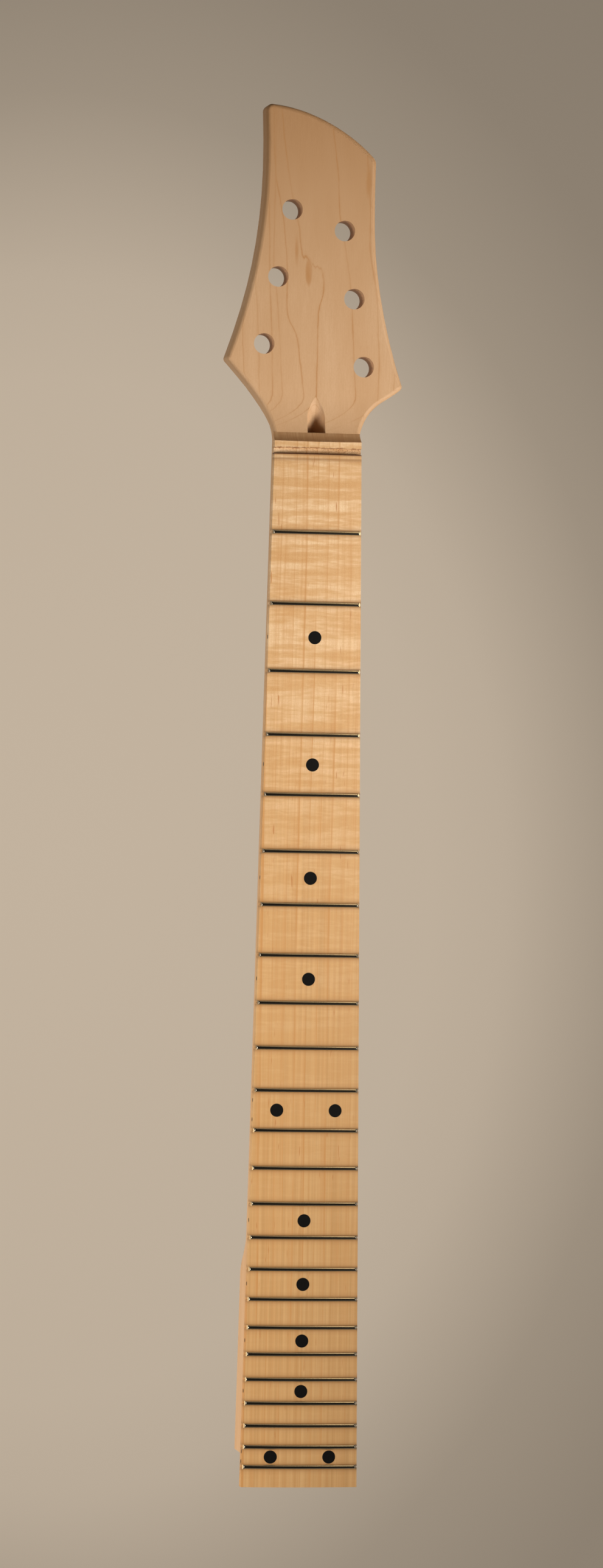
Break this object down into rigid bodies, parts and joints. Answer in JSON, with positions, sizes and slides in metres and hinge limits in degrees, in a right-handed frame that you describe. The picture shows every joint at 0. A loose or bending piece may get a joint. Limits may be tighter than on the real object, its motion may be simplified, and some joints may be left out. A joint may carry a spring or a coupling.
{
  "type": "electric guitar neck",
  "caption": "Bolt-on electric guitar neck: maple shaft and headstock, fretted maple fingerboard with dots, and an adjustable truss rod under it.",
  "frame": {"origin": "centre of the heel's flat mounting face", "axes": "+Y along the neck towards the headstock, +Z out of the fingerboard, +X towards the treble side"},
  "size_m": [0.0859, 0.6656, 0.0265],
  "materials": {
    "maple": "bare sanded maple, flat grain",
    "flamed_maple": "bare sanded flamed maple, upright grain",
    "fret_wire": "polished nickel silver",
    "black_dot": "black, sanded flush",
    "rod_steel": "plain steel",
    "black_steel": "black oxide"
  },
  "bodies": {
    "neck": {"dot_03": "black_dot", "dot_05": "black_dot", "dot_07": "black_dot", "dot_09": "black_dot", "dot_12_bass": "black_dot", "dot_12_treble": "black_dot", "dot_15": "black_dot", "dot_17": "black_dot", "dot_19": "black_dot", "dot_21": "black_dot", "dot_24_bass": "black_dot", "dot_24_treble": "black_dot", "fingerboard": "flamed_maple", "fret_01": "fret_wire", "fret_02": "fret_wire", "fret_03": "fret_wire", "fret_04": "fret_wire", "fret_05": "fret_wire", "fret_06": "fret_wire", "fret_07": "fret_wire", "fret_08": "fret_wire", "fret_09": "fret_wire", "fret_10": "fret_wire", "fret_11": "fret_wire", "fret_12": "fret_wire", "fret_13": "fret_wire", "fret_14": "fret_wire", "fret_15": "fret_wire", "fret_16": "fret_wire", "fret_17": "fret_wire", "fret_18": "fret_wire", "fret_19": "fret_wire", "fret_20": "fret_wire", "fret_21": "fret_wire", "fret_22": "fret_wire", "fret_23": "fret_wire", "fret_24": "fret_wire", "neck": "maple", "side_dot_03": "black_dot", "side_dot_05": "black_dot", "side_dot_07": "black_dot", "side_dot_09": "black_dot", "side_dot_12_lower": "black_dot", "side_dot_12_upper": "black_dot", "side_dot_15": "black_dot", "side_dot_17": "black_dot", "side_dot_19": "black_dot", "side_dot_21": "black_dot", "side_dot_24_lower": "black_dot", "side_dot_24_upper": "black_dot", "truss_bar": "rod_steel", "truss_collar": "rod_steel", "truss_heel_block": "rod_steel"},
    "adjuster": {"truss_nut": "black_steel", "truss_rod": "rod_steel"}
  },
  "joints": [
    {"name": "truss_rod_turn", "type": "hinge", "parent": "neck", "child": "adjuster", "pos_m": [0, 0.4371, 0.01305], "axis": [0, 1, 0], "range_deg": [-360, 360]}
  ]
}
